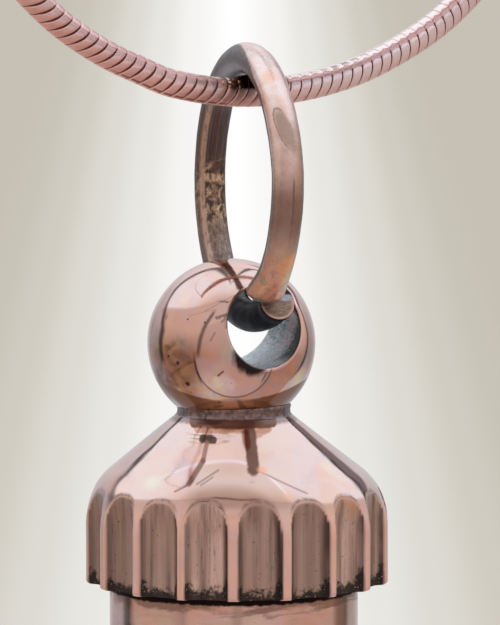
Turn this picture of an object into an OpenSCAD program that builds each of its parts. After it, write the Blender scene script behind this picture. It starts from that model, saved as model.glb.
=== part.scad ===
// Keepsake urn pendant in antiqued rose gold, hanging on its polished snake chain.
// Lengths are in millimetres and angles in degrees. +Z is up, -Y is the wearer's front.
// The origin is the middle of the clasp, where the chain lies on the back of the neck.

/* [Chain and clasp] */
// Diameter of the round snake chain
chain_d = 0.92; // [0.7:0.01:1.1]
// Sides of the chain's tube
chain_sides = 12; // [8:1:12]
// Outer diameter of the barrel clasp
clasp_d = 2.4; // [1.8:0.1:3.2]
// Length of the barrel clasp
clasp_l = 12; // [10:0.5:16]
// Rounding of the clasp's two ends
clasp_round = 0.5; // [0.2:0.05:0.6]

/* [Jump ring] */
// Diameter of the ring's round wire
wire_d = 1.02; // [0.8:0.01:1.1]
// Inner diameter of the ring
ring_id = 7.26; // [6.8:0.02:8.2]
// Width of the ring's open seam
seam_w = 0.08; // [0.04:0.01:0.2]
// Angle of the seam from the ring's lowest point, towards the front
seam_angle = 31; // [20:1:45]

/* [Ball bail] */
// Diameter of the ball
ball_d = 5.4; // [5.2:0.05:6]
// Diameter of the hole through the ball
hole_d = 2.5; // [2.35:0.05:2.8]
// Height of the hole's axis above the ball's centre
hole_up = 0.65; // [0.3:0.05:0.8]
// Distance of the hole's axis to the side of the ball's centre
hole_side = 0.55; // [0:0.05:0.7]

/* [Screw cap] */
// Diameter of the short neck under the ball
neck_d = 3.72; // [3.2:0.02:4]
// Height of the neck below the ball's edge
neck_h = 0.35; // [0.2:0.05:1]
// Slope of the conical shoulder, measured from the horizontal
shoulder_slope = 38.5; // [34:0.5:44]
// Outer diameter of the fluted skirt
cap_d = 9.8; // [9.6:0.05:10.6]
// Radius that rounds the shoulder into the skirt
shoulder_round = 2.3; // [1.8:0.1:2.6]
// Height of the straight part of the skirt
skirt_h = 1.86; // [1.6:0.02:2.6]
// Radius at the skirt's lower outer edge
rim_round = 0.12; // [0.05:0.01:0.15]

/* [Flutes] */
// Number of flutes around the skirt
flute_count = 18; // [12:1:20]
// Depth of a flute at its middle
flute_depth = 0.38; // [0.25:0.01:0.42]
// Width of a flute between its two ridges
flute_w = 1.44; // [1.1:0.02:1.5]
// Turn of the first flute away from +X
flute_turn = 1; // [0:1:19]

/* [Vessel] */
// Outer diameter of the cylindrical vessel
vessel_d = 8; // [7.8:0.02:8.1]
// Length of the vessel that shows below the cap
vessel_l = 14; // [10:0.5:20]
// Outer diameter of the vessel's neck, which screws into the cap
throat_d = 7.2; // [7:0.02:7.4]
// Length of the vessel's neck
throat_l = 1.8; // [1.4:0.05:1.9]
// Diameter of the chamber
chamber_d = 6.2; // [5.8:0.05:6.4]
// Thickness of the vessel's floor
floor_t = 0.8; // [0.5:0.1:2]
// Radius at the vessel's lower edge
foot_round = 1.2; // [0.4:0.1:1.6]

/* [Fits] */
// Depth that the vessel's body goes up into the skirt
seat_depth = 0.9; // [0.5:0.05:1.1]
// Gap around the vessel's body inside the skirt
seat_gap = 0.1; // [0.06:0.01:0.14]
// Gap around the vessel's neck, which stands in for the thread
thread_gap = 0.05; // [0.03:0.01:0.1]
// Gap above each face of the vessel inside the cap
top_gap = 0.08; // [0.04:0.01:0.15]
// Gap between the ring and the chain that it hangs on
ring_gap = 0.03; // [0.02:0.01:0.06]
// Gap between the ring and the hole that hangs on it
hole_gap = 0.05; // [0.04:0.01:0.08]
// Gap around and behind the chain in the clasp's sockets
socket_gap = 0.06; // [0.04:0.01:0.12]

/* [Hidden] */
$fn = 96;
cut = 1;

// The chain's route from the pendant to the right-hand half of the clasp, as x, y and z.
route = [
    [0, -110, -122], [2, -110, -121.8], [4, -110, -121.2], [6, -110, -120.05], [8, -110, -118.15],
    [11, -110, -114.2], [16, -109.5, -106.4], [24, -107.5, -94], [33, -103, -79], [42, -95, -63],
    [50, -83, -48], [54.5, -69, -36], [57, -53, -25], [55, -36, -15], [47, -20.5, -8],
    [36, -9.8, -4], [24, -3.4, -1.6], [14, -0.6, -0.4], [8, 0, 0], [6, 0, 0], [4, 0, 0]
];
neck_axis = [0, -55, 0];
steps = 2;
low = route[0];
chain_end = route[len(route) - 1][0];

// The ring hangs on the chain.
wire_r = wire_d / 2;
ring_ir = ring_id / 2;
ring_r = ring_ir + wire_r;
ring_z = low[2] + chain_d / 2 + ring_gap - ring_ir;

// The ball hangs on the ring, which touches the top of the hole at its two mouths.
ball_r = ball_d / 2;
hole_r = hole_d / 2;
hole_top = hole_up + hole_r;
mouth_y = sqrt(ball_r * ball_r - hole_side * hole_side - hole_top * hole_top);
ball_z = ring_z - hole_top + hole_gap - sqrt(ring_ir * ring_ir - mouth_y * mouth_y);
urn_x = low[0] - hole_side;
urn_y = low[1];

// Heights below the ball's centre, from the neck down to the vessel's foot.
neck_r = neck_d / 2;
cap_r = cap_d / 2;
neck_top = -sqrt(ball_r * ball_r - neck_r * neck_r);
neck_foot = neck_top - neck_h;
corner_z = neck_foot - (cap_r - neck_r) * tan(shoulder_slope);
tangent_l = shoulder_round * tan((90 - shoulder_slope) / 2);
skirt_top = corner_z - tangent_l;
rim_z = skirt_top - skirt_h;
seat_z = rim_z + seat_depth;
throat_top = seat_z + throat_l;
foot_z = rim_z - vessel_l;

// A flute is cut by a cylinder through its two ridges and its deepest line.
flute_edge = sqrt(cap_r * cap_r - flute_w * flute_w / 4);
flute_rise = flute_edge - cap_r + flute_depth;
flute_r = (flute_w * flute_w / 4 + flute_rise * flute_rise) / (2 * flute_rise);
flute_at = cap_r - flute_depth + flute_r;

function unit(v) = v / norm(v);
function mirrored(p) = [-p[0], p[1], p[2]];

// The whole loop: the left half is the route's mirror image.
loop = concat(
    [for (i = [len(route) - 1 : -1 : 1]) mirrored(route[i])],
    route
);
last = len(loop) - 1;

function span(i) = norm(loop[i + 1] - loop[i]);
function leg(i) = unit(loop[i + 1] - loop[i]);
function heading(i) =
    i == 0 ? leg(0) :
    i == last ? leg(last - 1) :
    (leg(i - 1) * span(i) + leg(i) * span(i - 1)) / (span(i) + span(i - 1));

// A cubic curve through the loop's points, i and i + 1, at the share t of the way.
function curve(i, t) =
    (2 * t * t * t - 3 * t * t + 1) * loop[i]
    + (t * t * t - 2 * t * t + t) * span(i) * heading(i)
    + (3 * t * t - 2 * t * t * t) * loop[i + 1]
    + (t * t * t - t * t) * span(i) * heading(i + 1);

path = concat(
    [for (i = [0 : last - 1]) for (k = [0 : steps - 1]) curve(i, k / steps)],
    [loop[last]]
);
rings = len(path);

function along(i) =
    i == 0 ? unit(path[1] - path[0]) :
    i == rings - 1 ? unit(path[i] - path[i - 1]) :
    unit(unit(path[i + 1] - path[i]) + unit(path[i] - path[i - 1]));
function outward(i) = [path[i][0] - neck_axis[0], path[i][1] - neck_axis[1], 0];
function side(i) = unit(cross(along(i), outward(i)));
function over(i) = cross(side(i), along(i));
function hoop(i) = [
    for (k = [0 : chain_sides - 1])
        let (a = 360 * k / chain_sides)
        path[i] + chain_d / 2 * (cos(a) * side(i) + sin(a) * over(i))
];

// One tube of straight-sided rings, closed by a flat polygon at each end.
module swept_tube() {
    n = chain_sides;
    points = [for (i = [0 : rings - 1]) each hoop(i)];
    walls = [
        for (i = [0 : rings - 2]) for (k = [0 : n - 1])
            let (m = (k + 1) % n)
            each [
                [i * n + k, i * n + m, (i + 1) * n + m],
                [i * n + k, (i + 1) * n + m, (i + 1) * n + k]
            ]
    ];
    first_end = [for (k = [n - 1 : -1 : 0]) k];
    other_end = [for (k = [0 : n - 1]) (rings - 1) * n + k];
    polyhedron(points = points, faces = concat(walls, [first_end, other_end]));
}

module chain() {
    color("#dc9c92")
        swept_tube();
}

// One half of the clasp's outline: a rounded corner on a straight barrel.
module clasp_outline() {
    r = clasp_d / 2;
    h = clasp_l / 2;
    square([r - clasp_round, h]);
    square([r, h - clasp_round]);
    translate([r - clasp_round, h - clasp_round]) circle(clasp_round);
}

module clasp() {
    socket_floor = chain_end - socket_gap;
    color("#d3958a")
        rotate([0, 90, 0])
            difference() {
                rotate_extrude() {
                    clasp_outline();
                    mirror([0, 1]) clasp_outline();
                }
                for (end = [0, 180])
                    rotate([end, 0, 0])
                        translate([0, 0, socket_floor])
                            cylinder(h = clasp_l, r = chain_d / 2 + socket_gap);
            }
}

// The ring stands in the YZ plane, with its seam low at the front.
module jump_ring() {
    color("#a58074")
        translate([low[0], low[1], ring_z])
            rotate([0, 90, 0])
                difference() {
                    rotate_extrude()
                        translate([ring_r, 0]) circle(wire_r);
                    rotate([0, 0, -seam_angle])
                        translate([ring_ir - cut, -seam_w / 2, -wire_d])
                            cube([wire_d + 2 * cut, seam_w, 2 * wire_d]);
                }
}

module ball() {
    difference() {
        sphere(ball_r);
        translate([hole_side, 0, hole_up])
            rotate([90, 0, 0])
                cylinder(h = ball_d + 2 * cut, r = hole_r, center = true);
    }
}

// The outline from the neck down to the rim, turned about the urn's axis.
module cap_outline() {
    arc_r = cap_r - shoulder_round;
    tangent_r = cap_r - tangent_l * cos(shoulder_slope);
    tangent_z = corner_z + tangent_l * sin(shoulder_slope);
    polygon([
        [0, neck_top], [neck_r, neck_top], [neck_r, neck_foot], [tangent_r, tangent_z],
        [arc_r, skirt_top], [0, skirt_top]
    ]);
    intersection() {
        translate([arc_r, skirt_top]) circle(shoulder_round);
        translate([0, skirt_top]) square([cap_r, tangent_z - skirt_top]);
    }
    translate([0, rim_z + rim_round]) square([cap_r, skirt_h - rim_round]);
    translate([0, rim_z]) square([cap_r - rim_round, skirt_h]);
    translate([cap_r - rim_round, rim_z + rim_round]) circle(rim_round);
}

module flutes() {
    for (i = [0 : flute_count - 1])
        rotate([0, 0, flute_turn + 360 * i / flute_count])
            translate([flute_at, 0, rim_z - cut])
                cylinder(h = neck_foot - rim_z + cut, r = flute_r);
}

// The room inside the cap: a wide seat for the vessel's body and a bore for its neck.
module cap_room() {
    seat_h = seat_depth + top_gap;
    translate([0, 0, rim_z - cut])
        cylinder(h = seat_h + cut, r = vessel_d / 2 + seat_gap);
    translate([0, 0, rim_z])
        cylinder(h = throat_top + top_gap - rim_z, r = throat_d / 2 + thread_gap);
}

module urn_cap() {
    color("#a87868")
        translate([urn_x, urn_y, ball_z]) {
            difference() {
                union() {
                    ball();
                    rotate_extrude() cap_outline();
                }
                flutes();
                cap_room();
            }
        }
}

module vessel_outline() {
    r = vessel_d / 2;
    translate([0, foot_z + foot_round]) square([r, seat_z - foot_z - foot_round]);
    translate([0, foot_z]) square([r - foot_round, foot_round]);
    translate([r - foot_round, foot_z + foot_round]) circle(foot_round);
    translate([0, foot_z + foot_round]) square([throat_d / 2, throat_top - foot_z - foot_round]);
}

module urn_vessel() {
    color("#9c7264")
        translate([urn_x, urn_y, ball_z])
            difference() {
                rotate_extrude() vessel_outline();
                translate([0, 0, foot_z + floor_t])
                    cylinder(h = throat_top - foot_z, r = chamber_d / 2);
            }
}

chain();
clasp();
jump_ring();
urn_cap();
urn_vessel();
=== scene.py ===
"""Looks of a keepsake urn pendant on its snake chain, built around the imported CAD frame.
Lengths named here are in millimetres unless a comment says otherwise; meshes are written in metres."""
import math

import bpy
import numpy as np
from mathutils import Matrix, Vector


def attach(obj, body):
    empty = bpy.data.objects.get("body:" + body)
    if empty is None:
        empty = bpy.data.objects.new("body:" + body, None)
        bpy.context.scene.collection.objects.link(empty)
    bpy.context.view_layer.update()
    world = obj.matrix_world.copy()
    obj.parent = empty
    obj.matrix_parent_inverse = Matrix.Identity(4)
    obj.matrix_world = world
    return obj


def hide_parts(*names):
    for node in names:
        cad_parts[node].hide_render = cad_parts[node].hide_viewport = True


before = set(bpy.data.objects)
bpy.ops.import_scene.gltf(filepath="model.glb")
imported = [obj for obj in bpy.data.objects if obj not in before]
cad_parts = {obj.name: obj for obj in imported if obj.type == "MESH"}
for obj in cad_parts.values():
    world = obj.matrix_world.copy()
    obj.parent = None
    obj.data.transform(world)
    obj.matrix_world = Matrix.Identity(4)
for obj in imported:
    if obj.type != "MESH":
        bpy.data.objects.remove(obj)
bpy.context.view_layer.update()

MM = 0.001
TAU = 2 * math.pi
DEGREE = 180 / math.pi

# Sizes of the solids that the pieces here stand for.
CHAIN_D, WIRE_D, RING_ID = 0.92, 1.02, 7.26
SEAM_W, SEAM_ANGLE = 0.08, 31
BALL_R, HOLE_R, HOLE_UP, HOLE_SIDE, HOLE_GAP = 2.7, 1.25, 0.65, 0.55, 0.05
NECK_R, NECK_H, SLOPE, CAP_R, SHOULDER, SKIRT_H, RIM = 1.86, 0.35, math.radians(38.5), 4.9, 2.3, 1.86, 0.12
FLUTES, FLUTE_DEPTH, FLUTE_W, FLUTE_TURN = 18, 0.38, 1.44, math.radians(1)
VESSEL_R, VESSEL_L, THROAT_R, THROAT_L = 4.0, 14.0, 3.6, 1.8
CHAMBER_R, FLOOR_T, FOOT_ROUND = 3.1, 0.8, 1.2
SEAT_DEPTH, SEAT_GAP, THREAD_GAP, TOP_GAP = 0.9, 0.1, 0.05, 0.08
CLASP_R, CLASP_HALF, SOCKET_GAP = 1.2, 6.0, 0.06
CHAIN_END = 4.0

# Places that follow from the sizes.
LOW = np.array([0.0, -110.0, -122.0])
WIRE_R = WIRE_D / 2
RING_R = RING_ID / 2 + WIRE_R
RING_C = LOW + [0, 0, CHAIN_D / 2 + 0.03 - RING_ID / 2]
HOLE_TOP = HOLE_UP + HOLE_R
MOUTH_Y = math.sqrt(BALL_R**2 - HOLE_SIDE**2 - HOLE_TOP**2)
BALL_C = np.array([
    LOW[0] - HOLE_SIDE, LOW[1],
    RING_C[2] - HOLE_TOP + HOLE_GAP - math.sqrt((RING_ID / 2) ** 2 - MOUTH_Y**2)])
NECK_TOP = -math.sqrt(BALL_R**2 - NECK_R**2)
NECK_FOOT = NECK_TOP - NECK_H
CORNER_Z = NECK_FOOT - (CAP_R - NECK_R) * math.tan(SLOPE)
TANGENT = SHOULDER * math.tan((math.pi / 2 - SLOPE) / 2)
SKIRT_TOP = CORNER_Z - TANGENT
RIM_Z = SKIRT_TOP - SKIRT_H
SEAT_Z = RIM_Z + SEAT_DEPTH
THROAT_TOP = SEAT_Z + THROAT_L
FOOT_Z = RIM_Z - VESSEL_L

# The camera: 160 mm from the ball, a little to its right and above it.
VIEW_AZ, VIEW_DOWN, VIEW_FAR = math.radians(17.5), math.radians(5.55), 160.0
AIM_AZ, AIM_DOWN = math.radians(17.688), math.radians(5.206)
LENS = 287.08

SIDE = np.array([math.cos(VIEW_AZ), -math.sin(VIEW_AZ), 0.0])
AHEAD = np.array([math.sin(VIEW_AZ), math.cos(VIEW_AZ), 0.0])
VIEW_UP = np.array([
    math.sin(VIEW_AZ) * math.sin(VIEW_DOWN), math.cos(VIEW_AZ) * math.sin(VIEW_DOWN), math.cos(VIEW_DOWN)])

# What hand finishing has moved: ball and skirt lie a little off the axis, and the bore widens to the back.
BALL_OFF = -0.075 * SIDE
SKIRT_OFF = 0.115 * SIDE
BORE_FRONT = (0.41, 0.68, 1.27)  # place of the hole's axis on the ball, across and up, and its radius
BORE_BACK = (0.4, 0.64, 1.5)
CREASE_R, CREASE_W, CREASE_SLOPE = 3.55, 1.0, 0.19
FLAT_FROM, FLAT_RISE = 0.17, 0.95
PLATE_LEAN, SKIRT_LEAN = 0.74, 0.16
SEAM_AT = math.radians(SEAM_ANGLE)
CUT_C = RING_C + [0.245, -RING_R * math.sin(SEAM_AT), -RING_R * math.cos(SEAM_AT)]

# The tent's bright top starts at most this many degrees up.
TENT_TOP = 62.0


# Meshes
def grid(rows, cols, close_rows=False):
    """Quads over rings of points, one ring a row; close_rows joins the last ring to the first."""
    i = np.arange(rows if close_rows else rows - 1)[:, None]
    j = np.arange(cols)[None, :]
    a, b, k = i * cols, (i + 1) % rows * cols, (j + 1) % cols
    return np.stack([a + j, a + k, b + k, b + j], -1).reshape(-1, 4)


def fan(ring, tip, flip=False):
    """Triangles from one ring of points to a single point."""
    tris = np.stack([ring, np.roll(ring, -1), np.full(len(ring), tip)], -1)
    return tris[:, ::-1] if flip else tris


def capped(points, cols, tips=None):
    """Points, quads and triangles of a tube of rings, closed at tips or at the middles of its ends."""
    count = len(points)
    if tips is None:
        tips = [points[:cols].mean(0), points[-cols:].mean(0)]
    ring = np.arange(cols)
    tris = np.concatenate([fan(ring, count, True), fan(ring + count - cols, count + 1)])
    return np.concatenate([points, tips]), grid(count // cols, cols), tris


def make_object(name, shape, material, unit_size=MM):
    """A smooth mesh object with outward faces from points, quads and triangles."""
    points, quads, tris = shape
    halves = np.concatenate([quads[:, [0, 1, 2]], quads[:, [0, 2, 3]], tris])
    p, q, r = (points[halves[:, n]] for n in range(3))
    if np.einsum("ij,ij->", p, np.cross(q, r)) < 0:
        quads, tris = quads[:, ::-1], tris[:, ::-1]
    mesh = bpy.data.meshes.new(name)
    mesh.vertices.add(len(points))
    mesh.vertices.foreach_set("co", (points * unit_size).astype(np.float32).ravel())
    loops = np.concatenate([quads.ravel(), tris.ravel()]).astype(np.int32)
    mesh.loops.add(len(loops))
    mesh.loops.foreach_set("vertex_index", loops)
    starts = np.concatenate([np.arange(len(quads)) * 4, 4 * len(quads) + np.arange(len(tris)) * 3])
    mesh.polygons.add(len(starts))
    mesh.polygons.foreach_set("loop_start", starts.astype(np.int32))
    mesh.polygons.foreach_set("use_smooth", np.ones(len(starts), bool))
    mesh.update(calc_edges=True)
    mesh.validate()
    mesh.materials.append(material)
    made = bpy.data.objects.new(name, mesh)
    bpy.context.scene.collection.objects.link(made)
    return made


def piece(name, shape, body, node, material, marks):
    """An object that rides on a body in place of a CAD node. Marks are numbers or vectors, one a point."""
    made = make_object(name, shape, material)
    for mark, values in marks.items():
        values = np.asarray(values, np.float32)
        spare = np.zeros((len(shape[0]) - len(values), *values.shape[1:]), np.float32)
        vector = values.ndim == 2
        layer = made.data.attributes.new(mark, "FLOAT_VECTOR" if vector else "FLOAT", "POINT")
        layer.data.foreach_set("vector" if vector else "value", np.concatenate([values, spare]).ravel())
    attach(made, body)
    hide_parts(node)
    return made


def around(cols):
    return np.arange(cols) * TAU / cols


def signed(angle):
    """The angle in degrees, from -180 to 180."""
    return np.degrees((angle + math.pi) % TAU - math.pi)


def spin(r, z, theta):
    """Points of rings about the vertical axis: radii r, heights z, turned by theta."""
    r, z, theta = np.broadcast_arrays(r, z, theta)
    return np.stack([r * np.cos(theta), r * np.sin(theta), z], -1)


def smooth_step(x, low, high):
    """From 0 at low to 1 at high, also where low is the larger."""
    t = np.clip((np.asarray(x, float) - low) / (high - low), 0, 1)
    return t * t * (3 - 2 * t)


def smooth_min(a, b, k):
    h = np.maximum(k - np.abs(a - b), 0) / k
    return np.minimum(a, b) - h * h * k / 4


def wobble(u, v, w, waves):
    """A soft unevenness from a few sine waves: (amplitude, three frequencies, phase) each."""
    return sum(a * np.sin(fu * u + fv * v + fw * w + ph) for a, fu, fv, fw, ph in waves)


def unit(v):
    return v / np.linalg.norm(v, axis=-1, keepdims=True)


def slerp(a, b, t):
    """From unit vectors a to unit vectors b, at the share t."""
    w = np.arccos(np.clip((a * b).sum(-1, keepdims=True), -1, 1))
    return (np.sin((1 - t) * w) * a + np.sin(t * w) * b) / np.sin(w)


# Shader nodes
class Wire:
    """A node's output that can be used in sums."""

    def __init__(self, nodes, socket):
        self.nodes = nodes
        self.socket = socket

    def __add__(self, other):
        return self.nodes.math("ADD", self, other)

    def __sub__(self, other):
        return self.nodes.math("SUBTRACT", self, other)

    def __rsub__(self, other):
        return self.nodes.math("SUBTRACT", other, self)

    def __mul__(self, other):
        return self.nodes.math("MULTIPLY", self, other)

    def __truediv__(self, other):
        return self.nodes.math("DIVIDE", self, other)

    def __abs__(self):
        return self.nodes.math("ABSOLUTE", self)

    def over(self, share, colour, mode="MIX"):
        """Lays another colour over this one, in place."""
        self.socket = self.nodes.mix(share, self, colour, mode).socket


class Nodes:
    """Short calls that add nodes to one tree and link them."""

    def __init__(self, tree):
        self.tree = tree
        tree.nodes.clear()

    def feed(self, socket, value):
        if isinstance(value, Wire):
            self.tree.links.new(value.socket, socket)
        elif socket.type == "RGBA":
            socket.default_value = (*value[:3], 1.0)
        elif socket.type == "VECTOR":
            socket.default_value = tuple(value)
        else:
            socket.default_value = value

    def add(self, kind, inputs, **settings):
        """A node with its settings and inputs; inputs that are None are left alone."""
        node = self.tree.nodes.new("ShaderNode" + kind)
        for key, value in settings.items():
            setattr(node, key, value)
        for key, value in inputs.items():
            if value is not None:
                self.feed(node.inputs[key], value)
        return node

    def get(self, kind, output, inputs, **settings):
        return Wire(self, self.add(kind, inputs, **settings).outputs[output])

    def math(self, op, a, b=None, clamp=False):
        return self.get("Math", 0, {0: a, 1: b}, operation=op, use_clamp=clamp)

    def vec(self, op, a, b=None):
        return self.get("VectorMath", "Vector", {0: a, 1: b}, operation=op)

    def scale(self, vector, factor):
        return self.get("VectorMath", "Vector", {0: vector, "Scale": factor}, operation="SCALE")

    def dot(self, a, b):
        return self.get("VectorMath", "Value", {0: a, 1: b}, operation="DOT_PRODUCT")

    def length(self, vector, stretch=(1, 1, 1)):
        stretched = self.vec("MULTIPLY", vector, stretch)
        return self.get("VectorMath", "Value", {0: stretched}, operation="LENGTH")

    def distance(self, a, b):
        return self.get("VectorMath", "Value", {0: a, 1: b}, operation="DISTANCE")

    def split(self, vector):
        """The three numbers of a vector."""
        parts = self.add("SeparateXYZ", {0: vector})
        return [Wire(self, part) for part in parts.outputs]

    def join(self, x, y, z=0.0):
        return self.get("CombineXYZ", 0, {0: x, 1: y, 2: z})

    def angle(self, up, across):
        """The angle of a direction in degrees."""
        return self.math("ARCTAN2", up, across) * DEGREE

    def step(self, value, low, high, out_low=0.0, out_high=1.0, soft=True):
        """From out_low to out_high as value goes from low to high, also where low is the larger."""
        return self.get("MapRange", 0, {0: value, 1: low, 2: high, 3: out_low, 4: out_high},
                        interpolation_type="SMOOTHSTEP" if soft else "LINEAR")

    def window(self, value, start, full, last_full, end):
        """1 from full to last_full, and 0 before start and after end."""
        return self.step(value, start, full) * self.step(value, end, last_full)

    def near(self, value, centre, inner, outer):
        """1 where value is within inner of centre, 0 beyond outer."""
        return self.step(abs(value - centre), outer, inner)

    def mix(self, share, a, b, mode="MIX"):
        return self.get("Mix", 2, {0: share, 6: a, 7: b}, data_type="RGBA", blend_type=mode)

    def blend(self, share, a, b):
        """A number between a and b."""
        return self.get("Mix", 0, {0: share, 2: a, 3: b}, data_type="FLOAT")

    def ramp(self, value, stops, mode="LINEAR"):
        node = self.add("ValToRGB", {0: value})
        band = node.color_ramp
        band.interpolation = mode
        while len(band.elements) < len(stops):
            band.elements.new(0.5)
        for element, stop in zip(band.elements, stops):
            element.position = stop[0]
        for element, stop in zip(band.elements, stops):
            element.color = (*stop[1:], 1.0)
        return Wire(self, node.outputs[0])

    def noise(self, vector, scale, detail=3.0, rough=0.5, warp=0.0, w=None):
        inputs = {"Vector": vector, "Scale": scale, "Detail": detail, "Roughness": rough}
        inputs.update({"Distortion": warp, "W": w})
        return self.get("TexNoise", 0, inputs, noise_dimensions="3D" if w is None else "4D")

    def mark(self, name, vector=False):
        return self.get("Attribute", "Vector" if vector else "Fac", {}, attribute_name=name)

    def place(self, scale=(1, 1, 1), centre=(0, 0, 0)):
        """The piece's own coordinates in millimetres from centre, stretched by scale."""
        at = self.get("TexCoord", "Object", {})
        inputs = {"Vector": at, "Location": -np.array(centre), "Scale": np.array(scale) / MM}
        return self.get("Mapping", 0, inputs)

    def spot(self, at, centre, radius, soft=0.35):
        """1 within radius of a point, falling to 0 at its edge."""
        return self.step(self.distance(at, centre), radius * (1 + soft), radius * (1 - soft))

    def stroke(self, at, start, end, radius, rag=None, soft=0.3):
        """1 within radius of the line from start to end on a flat layout; rag moves its edge."""
        start = Vector((*start, 0.0))
        run = Vector((*end, 0.0)) - start
        offset = self.vec("SUBTRACT", at, start)
        share = self.math("MULTIPLY", self.dot(offset, run), 1 / run.length_squared, clamp=True)
        far = self.length(self.vec("SUBTRACT", offset, self.scale(run, share)))
        if rag is not None:
            far = far + rag
        return self.step(far, radius * (1 + soft), radius * (1 - soft))

    def most(self, first, *others):
        for other in others:
            first = self.math("MAXIMUM", first, other)
        return first

    def least(self, a, b):
        return self.math("MINIMUM", a, b)

    def bumps(self, *layers):
        """Bumps laid on each other: height, strength, and distance in millimetres for a height of 1."""
        normal = None
        for height, strength, distance in layers:
            inputs = {"Height": height, "Strength": strength, "Distance": distance * MM, "Normal": normal}
            normal = self.get("Bump", 0, inputs)
        return normal


def metal(name, make):
    """A material. make(nodes) builds its nodes and gives colour, roughness, normal and metallic share."""
    material = bpy.data.materials.new(name)
    material.use_nodes = True
    nodes = Nodes(material.node_tree)
    colour, rough, normal, share = make(nodes)
    inputs = {"Base Color": colour, "Metallic": share, "Roughness": rough, "Normal": normal}
    nodes.add("OutputMaterial", {0: nodes.get("BsdfPrincipled", 0, inputs)})
    return material


ROSE = (0.84, 0.6, 0.53)


def tarnish(n, colour, at, share, scale, seed):
    """A thin film over the metal whose tints run through orange, violet, blue and green."""
    drift = n.noise(at, scale, 2, 0.5, 0.6, w=seed)
    tint = n.ramp(drift, [
        (0.3, 1, 0.93, 0.66), (0.42, 1.05, 0.74, 0.5), (0.5, 0.98, 0.68, 0.8),
        (0.58, 0.72, 0.74, 1), (0.66, 0.74, 0.98, 0.8), (0.76, 1, 1, 0.74)])
    colour.over(1, n.mix(share, (1, 1, 1), tint), "MULTIPLY")


def spots(n, colour, at, rows, origin=(0, 0, 0)):
    """Soft round tints: place in millimetres from origin, radius, strength and colour each."""
    for place, radius, share, hue in rows:
        colour.over(n.spot(at, np.add(place, origin), radius, 0.9) * share, hue)


def strokes(n, colour, flat, facing, rag, wide, soft, rows):
    """Marks on a front view: two ends, half width, strength and colour each. rag tears the wide ones."""
    for start, end, radius, share, hue in rows:
        torn = radius > wide
        mark = n.stroke(flat, start, end, radius, rag if torn else None, soft[torn])
        colour.over(mark * facing * share, hue)


def chain_corner(n, colour, plate, along, round_):
    """The corner to the upper row of plates: rounded tops, a redder strip, the upper row's scallops, and a
    painted highlight along the upper row, which it gives back.
    """
    past = round_ - n.least(n.most(41 - along * 4.6, 27), 45)
    bend = abs(plate - 0.5) * 2
    scallop = abs(n.math("FRACT", plate + 0.5) - 0.5) * 2
    own = past + bend * bend * 9
    upper = past - (scallop * scallop * 10 + 17)
    seen = n.step(along, -5.8, -4.4)
    colour.over(n.step(own, 0, 3) * n.step(upper, 1, -2) * seen * 0.75, (0.74, 0.36, 0.33))
    edges = n.most(n.step(abs(own), 3, 0.4) * seen * 0.5, n.step(abs(upper), 3.6, 0.6) * seen * 0.85)
    colour.over(edges, (0.36, 0.1, 0.08))
    # Painted highlight: the upper row of plates is painted pale pink.
    top = n.step(upper, -1, 2) * n.step(abs(round_), 140, 128) * n.step(seen, 0, 1, 0.5, 1)
    colour.over(top * 0.95, (1, 0.8, 0.75))
    return top


def chain_dirt_and_shade(n, colour, at, plate, along, round_):
    """The dark ends of the plates low on the left, and under the ring painted shade, a painted black shadow
    where the ring touches, and painted orange glints.
    """
    low = n.window(round_, -64, -60, -53, -48) * n.window(plate, 0.14, 0.3, 0.93, 1)
    colour.over(low * n.window(along, -4.9, -4, -1, -0.4) * 0.8, (0.22, 0.07, 0.045))
    shade = n.window(along, -2.9, -1.6, -0.2, 0.4) * n.step(round_, 8, 30, 0.35, 1)
    shade = shade * n.step(n.noise(at, 5, 3), 0.35, 0.6, 0.5, 1)
    colour.over(shade * 0.8, (0.26, 0.11, 0.085))
    # Painted shadow: near black under the ring's arch and in a spot where the ring touches the chain.
    torn = (n.noise(at, 4, 2) - 0.5) * 40
    under = n.window(along, -0.95, -0.7, 0.9, 1.1) * n.step(round_ + torn, 16, 30)
    painted_dark = n.most(under, n.spot(at, LOW + [-0.62, -0.38, 0.2], 0.24, 0.5) * 0.7)
    colour.over(painted_dark, (0.03, 0.012, 0.009))
    # Painted glints: orange specks of reflected light beside the painted shadow.
    glint = n.step(n.noise(at, 9, 2), 0.54, 0.58) * n.spot(at, LOW + [-0.74, -0.38, 0.16], 0.34, 0.5)
    colour.over(glint, (1, 0.5, 0.26))
    return painted_dark


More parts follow.
